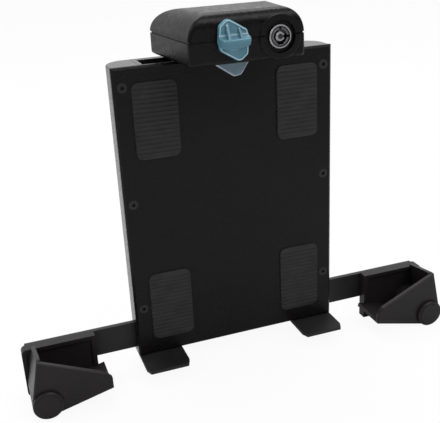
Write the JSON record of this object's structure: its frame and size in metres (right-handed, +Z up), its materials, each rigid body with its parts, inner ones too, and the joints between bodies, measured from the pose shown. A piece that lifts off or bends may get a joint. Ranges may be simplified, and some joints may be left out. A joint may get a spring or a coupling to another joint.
{
  "type": "locking tablet holder",
  "caption": "Holder that locks a cased tablet between lower corner cups and a sprung sliding head, with a knob that swings a paddle down and a key lock.",
  "frame": {"origin": "centre of the four mounting holes on the back face", "axes": "+X to the viewer's right along the wide side, +Y away from the viewer, square to the back face, +Z up along the head's travel"},
  "size_m": [0.2712, 0.0667, 0.2172],
  "materials": {
    "black_plastic": "fine-grained black moulding, satin",
    "knob_plastic": "satin teal moulding",
    "paddle_plastic": "satin blue-grey moulding",
    "black_steel": "black powder coat, satin",
    "plain_steel": "bright zinc-plated steel",
    "chrome": "polished",
    "brass": "machined",
    "rubber": "matte black rubber"
  },
  "bodies": {
    "base": {"rear_housing": "black_plastic", "front_cover": "black_plastic", "cover_screws": "black_steel", "back_pads": "rubber", "mount_inserts": "brass", "cross_bar": "black_steel", "bar_screws": "plain_steel", "cup_bolts": "plain_steel", "block_screws": "plain_steel", "ledge_screws": "black_steel", "lock_rack": "plain_steel", "rack_screws": "plain_steel", "spring_anchors": "plain_steel", "stop_pads": "rubber", "corner_cup_left": "black_plastic", "corner_cup_right": "black_plastic", "cup_cap_left": "black_plastic", "cup_cap_right": "black_plastic", "cup_liner_left": "rubber", "cup_liner_right": "rubber", "rear_block_left": "black_plastic", "rear_block_right": "black_plastic", "bottom_ledge_left": "black_steel", "bottom_ledge_right": "black_steel", "return_spring_left": "plain_steel", "return_spring_right": "plain_steel"},
    "carriage": {"inner_slide": "black_plastic", "slide_hooks": "plain_steel", "head_bracket": "black_steel", "bracket_screws": "plain_steel", "bracket_rivets": "plain_steel", "head_lower_shell": "black_plastic", "head_upper_shell": "black_plastic", "head_screws": "black_steel", "head_pad": "rubber", "knob_bush": "black_plastic", "bolt_guide": "black_plastic", "lock_cylinder": "chrome", "lock_nut": "plain_steel"},
    "knob_group": {"knob": "knob_plastic", "knob_shaft": "plain_steel", "retaining_paddle": "paddle_plastic", "friction_washer": "plain_steel", "hub_spacer": "black_plastic", "shaft_clip": "plain_steel"},
    "key_group": {"key_plug": "chrome", "crank": "plain_steel"},
    "bar_slider": {"lock_bar": "plain_steel"},
    "bolt_slider": {"lock_bolt": "plain_steel"}
  },
  "joints": [
    {"name": "head_slide", "type": "slide", "parent": "base", "child": "carriage", "axis": [0, 0, 1], "range_m": [0, 0.04], "stiffness_N_per_m": 400, "springref_m": -0.03, "deforming": ["return_spring_left", "return_spring_right"]},
    {"name": "knob_turn", "type": "hinge", "parent": "carriage", "child": "knob_group", "pos_m": [-0.0087, -0.059, 0.1033], "axis": [0, 1, 0], "range_deg": [0, 90]},
    {"name": "key_turn", "type": "hinge", "parent": "carriage", "child": "key_group", "pos_m": [0.0178, -0.059, 0.1024], "axis": [0, 1, 0], "range_deg": [0, 90]},
    {"name": "lock_bar_slide", "type": "slide", "parent": "carriage", "child": "bar_slider", "axis": [0, 0, 1], "range_m": [-0.00707, 0]},
    {"name": "lock_bolt_slide", "type": "slide", "parent": "carriage", "child": "bolt_slider", "axis": [1, 0, 0], "range_m": [0, 0.0061]}
  ],
  "couplings": [
    {"joint": "key_turn", "follows": "lock_bar_slide", "rad_per_m": -222},
    {"joint": "lock_bolt_slide", "follows": "lock_bar_slide", "ratio": -0.848}
  ]
}
